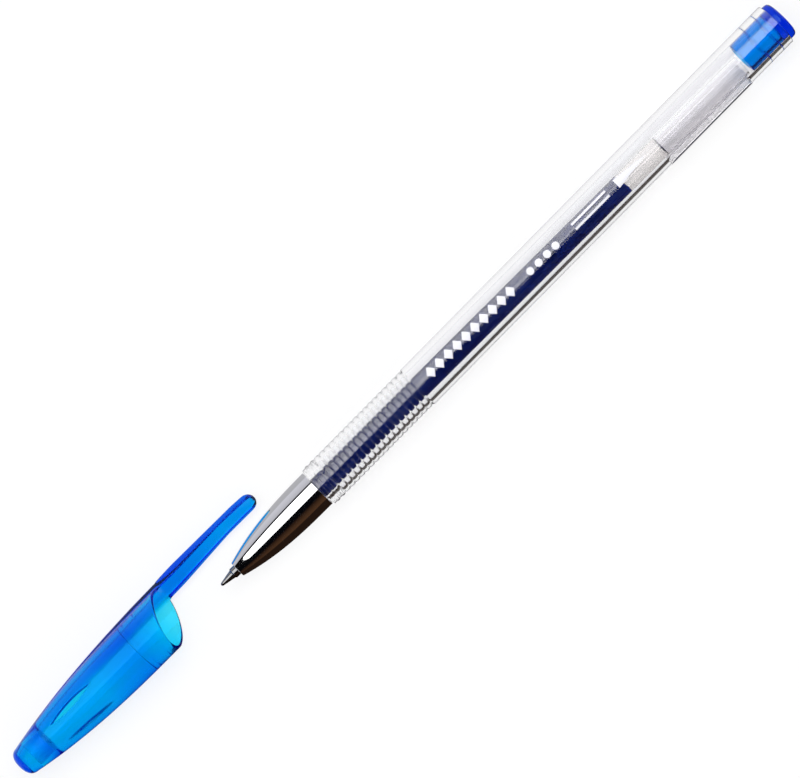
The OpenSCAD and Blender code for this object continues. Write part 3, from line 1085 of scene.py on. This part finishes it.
def mirror_share(tree, path):
    """1 for a ray that something shiny has reflected and that has met nothing matt, and 0 for any other."""
    reflected = math_node(tree, "GREATER_THAN", path.outputs["Glossy Depth"], 0.5)
    return math_node(tree, "SUBTRACT", reflected, path.outputs["Diffuse Depth"])


def crossing_share(tree, path):
    """1 for a ray that has gone through something clear, and 0 for any other."""
    return math_node(tree, "GREATER_THAN", path.outputs["Transmission Depth"], 0.5)


def floor():
    """A large pale table.

    What shines sees it light on the pen's far side and dark brown on the near side. What is reflected inside
    a clear wall sees it pale, apart from a dark card that lies beside the barrel on the near side.
    """
    bm = bmesh.new()
    steps = 12
    lines = [TABLE_HALF * (2 * i / steps - 1) for i in range(steps + 1)]
    grid = [[bm.verts.new((x, y, -TABLE_DROP)) for y in lines] for x in lines]
    for i in range(steps):
        for k in range(steps):
            bm.faces.new((grid[i][k], grid[i + 1][k], grid[i + 1][k + 1], grid[i][k + 1]))
    mesh = bpy.data.meshes.new("table_top")
    bm.to_mesh(mesh)
    bm.free()
    made = linked("table_top", mesh)

    material = bpy.data.materials.new("table_top")
    material.use_nodes = True
    tree = material.node_tree
    tree.nodes.remove(tree.nodes["Principled BSDF"])
    matt = node(tree, "BsdfDiffuse", {"Color": (TABLE_MATT, TABLE_MATT, TABLE_MATT, 1)})
    glow = node(tree, "Emission", {"Color": (1, 1, 1, 1), "Strength": TABLE_GLOW})
    pale = node(tree, "AddShader", {0: matt.outputs[0], 1: glow.outputs[0]})
    place = node(tree, "SeparateXYZ", {"Vector": node(tree, "TexCoord", {}).outputs["Object"]})
    side = ranged(tree, place.outputs["Y"], 0.0, 1.0, pen_axis.y - SIDE_BLUR, pen_axis.y + SIDE_BLUR)
    mirrored = mixed(tree, side, NEAR_FLOOR, FAR_FLOOR)
    card_y = pen_axis.y - CARD_GAP
    off_card = math_node(tree, "ADD",
                         ranged(tree, place.outputs["Y"], 0.0, 1.0, card_y - CARD_BLUR, card_y + CARD_BLUR),
                         ranged(tree, place.outputs["X"], 1.0, 0.0, tip_x, tip_x + 0.01))
    through = mixed(tree, off_card, CARD, BEYOND_CARD)
    path = node(tree, "LightPath", {})
    seen = node(tree, "Emission", {"Color": mixed(tree, crossing_share(tree, path), mirrored, through)})
    both = node(tree, "MixShader", {0: mirror_share(tree, path), 1: pale.outputs[0], 2: seen.outputs[0]})
    tree.links.new(both.outputs[0], tree.nodes["Material Output"].inputs["Surface"])
    mesh.materials.append(material)


def surroundings():
    """A pale room, which what shines sees as grey on the far side, black overhead and brown on the near side.

    What is reflected inside a clear wall sees black on the near side too. Past the pen's two ends what
    shines sees it pale. What is matt sees it brighter on the near side and overhead than on the far side.
    """
    world = bpy.data.worlds.new("studio")
    world.use_nodes = True
    bpy.context.scene.world = world
    tree = world.node_tree
    background = tree.nodes["Background"]
    way = node(tree, "SeparateXYZ", {"Vector": node(tree, "TexCoord", {}).outputs["Generated"]})
    ramp = node(tree, "ValToRGB", {"Fac": ranged(tree, way.outputs["Y"], 0, 1, -1, 1)})
    while len(ramp.color_ramp.elements) < len(STUDIO):
        ramp.color_ramp.elements.new(0.5)
    for element, (position, colour) in zip(ramp.color_ramp.elements, STUDIO):
        element.position = position
        element.color = (*colour, 1)
    path = node(tree, "LightPath", {})
    near_side = math_node(tree, "LESS_THAN", way.outputs["Y"], 0.0)
    dark = math_node(tree, "MULTIPLY", near_side, crossing_share(tree, path))
    studio = mixed(tree, dark, ramp.outputs["Color"], DARK_SIDE)
    lengthways = node(tree, "Math", {0: way.outputs["X"]}, operation="ABSOLUTE").outputs[0]
    studio = mixed(tree, ranged(tree, lengthways, 0.0, 1.0, ENDS_FROM, ENDS_TO), studio, ENDS)
    pale = mixed(tree, ranged(tree, way.outputs["Y"], 0.0, 1.0, 0.0, 0.9), NEAR_ROOM, FAR_ROOM)
    seen = mixed(tree, mirror_share(tree, path), pale, studio)
    tree.links.new(seen, background.inputs["Color"])


def allow_bounces(count):
    """Light crosses up to a dozen clear surfaces to reach what is inside the pen, and as many to leave it.

    Blurred gloss would roughen those surfaces for that light, and leave the label and the seal in the dark.
    """
    settings = bpy.context.scene.cycles
    settings.blur_glossy = 0.0
    settings.max_bounces = count
    settings.transmission_bounces = count
    settings.glossy_bounces = count // 2


camera()
softbox("key_softbox", angle=19.0, distance=0.55, width=0.5, length=0.72, watts=2.8)
floor()
surroundings()
bpy.context.scene.view_settings.view_transform = "Standard"
allow_bounces(BOUNCES)
